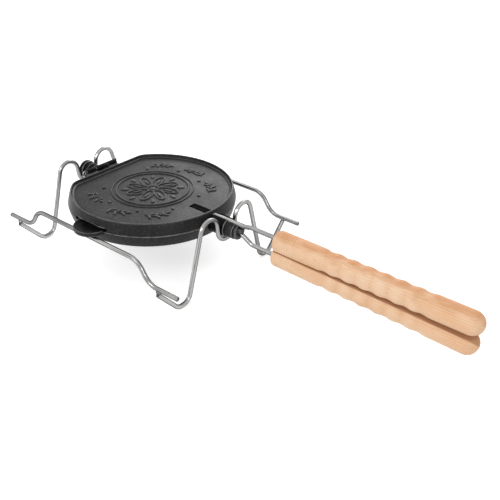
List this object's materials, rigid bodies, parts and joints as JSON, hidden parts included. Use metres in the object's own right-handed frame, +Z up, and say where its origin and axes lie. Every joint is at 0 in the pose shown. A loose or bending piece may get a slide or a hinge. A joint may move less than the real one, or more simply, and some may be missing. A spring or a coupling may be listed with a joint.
{
  "type": "campfire waffle iron",
  "caption": "Round hinged cast waffle iron with a pouring spout and long split wooden handles, turning on journals in a bent wire stand.",
  "frame": {"origin": "middle of the footprint, on the ground under the stand's feet", "axes": "+X from the plates' hinge towards the handle ends, +Y across, away from the spout, +Z up"},
  "size_m": [0.5582, 0.2277, 0.0911],
  "materials": {
    "cast_plates": "fine cast grain, seasoned black, satin",
    "wire_and_rods": "drawn wire, bright",
    "grips": "turned beech, thinly oiled"
  },
  "bodies": {
    "stand": {"rail_near": "wire_and_rods", "rail_far": "wire_and_rods", "cradle_front": "wire_and_rods", "cradle_back": "wire_and_rods", "weld_front_near": "wire_and_rods", "weld_front_far": "wire_and_rods", "weld_back_near": "wire_and_rods", "weld_back_far": "wire_and_rods"},
    "lower_half": {"lower_plate": "cast_plates", "hinge_pin": "wire_and_rods", "lower_rod": "wire_and_rods", "lower_grip": "grips"},
    "upper_half": {"upper_plate": "cast_plates", "upper_rod": "wire_and_rods", "upper_rod_stub": "wire_and_rods", "upper_grip": "grips"}
  },
  "joints": [
    {"name": "turn_over", "type": "hinge", "parent": "stand", "child": "lower_half", "pos_m": [-0.13749, 0.00272, 0.06981], "axis": [1, 0, 0], "range_deg": [-180, 0]},
    {"name": "lid_hinge", "type": "hinge", "parent": "lower_half", "child": "upper_half", "pos_m": [-0.23049, 0.00272, 0.08081], "axis": [0, -1, 0], "range_deg": [0, 105]}
  ]
}
